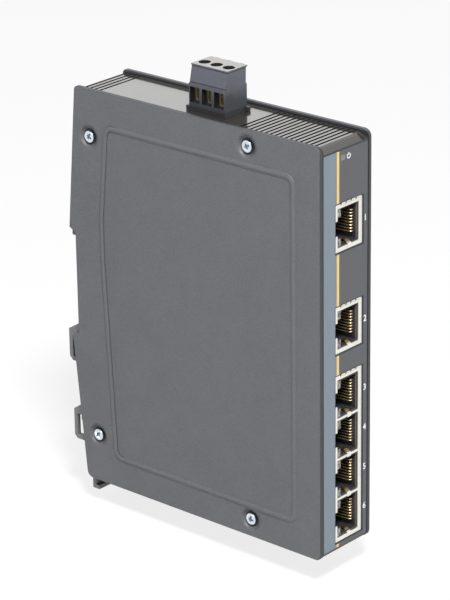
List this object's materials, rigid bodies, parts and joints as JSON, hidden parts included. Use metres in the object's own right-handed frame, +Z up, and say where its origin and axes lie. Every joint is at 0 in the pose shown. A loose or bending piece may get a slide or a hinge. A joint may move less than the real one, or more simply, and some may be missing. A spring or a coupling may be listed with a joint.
{
  "type": "din rail ethernet switch",
  "caption": "Narrow industrial network switch for a DIN rail, with jacks down its front, a pull-off power terminal on top and a sliding rail latch behind.",
  "frame": {"origin": "middle of the rear face that rests on the rail", "axes": "+X to the right seen from the front, +Y from the jacks back to the rail, +Z up"},
  "size_m": [0.0262, 0.1115, 0.1585],
  "materials": {
    "cover_paint": "satin",
    "frame_plastic": "glossy",
    "panel_plastic": "matte",
    "label_film": "satin",
    "zinc": "polished",
    "board_green": "satin",
    "nickel": "polished",
    "jack_black": "satin",
    "gold": "polished",
    "light_clear": "glossy",
    "tin": "satin",
    "plug_grey": "satin",
    "brass": "satin",
    "latch_grey": "satin",
    "spring_steel": "polished",
    "chip_black": "matte",
    "can_sleeve": "satin",
    "fuse_tan": "satin"
  },
  "bodies": {
    "housing": {"left_cover": "cover_paint", "right_cover": "cover_paint", "body_frame": "frame_plastic", "front_panel": "panel_plastic", "front_label": "label_film", "cover_screws": "zinc", "main_board": "board_green", "board_screws": "zinc", "jack_1_shield": "nickel", "jack_2_shield": "nickel", "jack_block_shield": "nickel", "jack_1_insert": "jack_black", "jack_2_insert": "jack_black", "jack_block_insert": "jack_black", "jack_1_contacts": "gold", "jack_2_contacts": "gold", "jack_block_contacts": "gold", "port_lights": "light_clear", "power_light_pipe": "light_clear", "power_led": "light_clear", "terminal_header": "jack_black", "header_pins": "tin", "magnetics": "chip_black", "switch_chip": "chip_black", "crystal": "tin", "capacitors": "can_sleeve", "power_inductor": "chip_black", "power_transformer": "chip_black", "fuse": "fuse_tan", "latch_spring": "spring_steel"},
    "latch": {"rail_latch": "latch_grey"},
    "terminal_plug": {"plug_housing": "plug_grey", "plug_contacts": "tin"},
    "cage_1": {"clamp_cage_1": "brass"},
    "screw_1": {"clamp_screw_1": "zinc"},
    "cage_2": {"clamp_cage_2": "brass"},
    "screw_2": {"clamp_screw_2": "zinc"},
    "cage_3": {"clamp_cage_3": "brass"},
    "screw_3": {"clamp_screw_3": "zinc"}
  },
  "joints": [
    {"name": "latch_slide", "type": "slide", "parent": "housing", "child": "latch", "axis": [0, 0, -1], "range_m": [0, 0.004], "stiffness_N_per_m": 1500, "springref_m": -0.001, "deforming": ["latch_spring"]},
    {"name": "plug_pull", "type": "slide", "parent": "housing", "child": "terminal_plug", "axis": [0, 0, 1], "range_m": [0, 0.0125]},
    {"name": "screw_1_turn", "type": "hinge", "parent": "terminal_plug", "child": "screw_1", "pos_m": [-0.0003, -0.05818, 0.08], "axis": [0, 0, -1], "range_deg": [0, 1440]},
    {"name": "cage_1_rise", "type": "slide", "parent": "terminal_plug", "child": "cage_1", "axis": [0, 0, 1], "range_m": [0, 0.002]},
    {"name": "screw_2_turn", "type": "hinge", "parent": "terminal_plug", "child": "screw_2", "pos_m": [-0.0003, -0.0531, 0.08], "axis": [0, 0, -1], "range_deg": [0, 1440]},
    {"name": "cage_2_rise", "type": "slide", "parent": "terminal_plug", "child": "cage_2", "axis": [0, 0, 1], "range_m": [0, 0.002]},
    {"name": "screw_3_turn", "type": "hinge", "parent": "terminal_plug", "child": "screw_3", "pos_m": [-0.0003, -0.04802, 0.08], "axis": [0, 0, -1], "range_deg": [0, 1440]},
    {"name": "cage_3_rise", "type": "slide", "parent": "terminal_plug", "child": "cage_3", "axis": [0, 0, 1], "range_m": [0, 0.002]}
  ],
  "couplings": [
    {"joint": "screw_1_turn", "follows": "cage_1_rise", "rad_per_m": 12566},
    {"joint": "screw_2_turn", "follows": "cage_2_rise", "rad_per_m": 12566},
    {"joint": "screw_3_turn", "follows": "cage_3_rise", "rad_per_m": 12566}
  ]
}
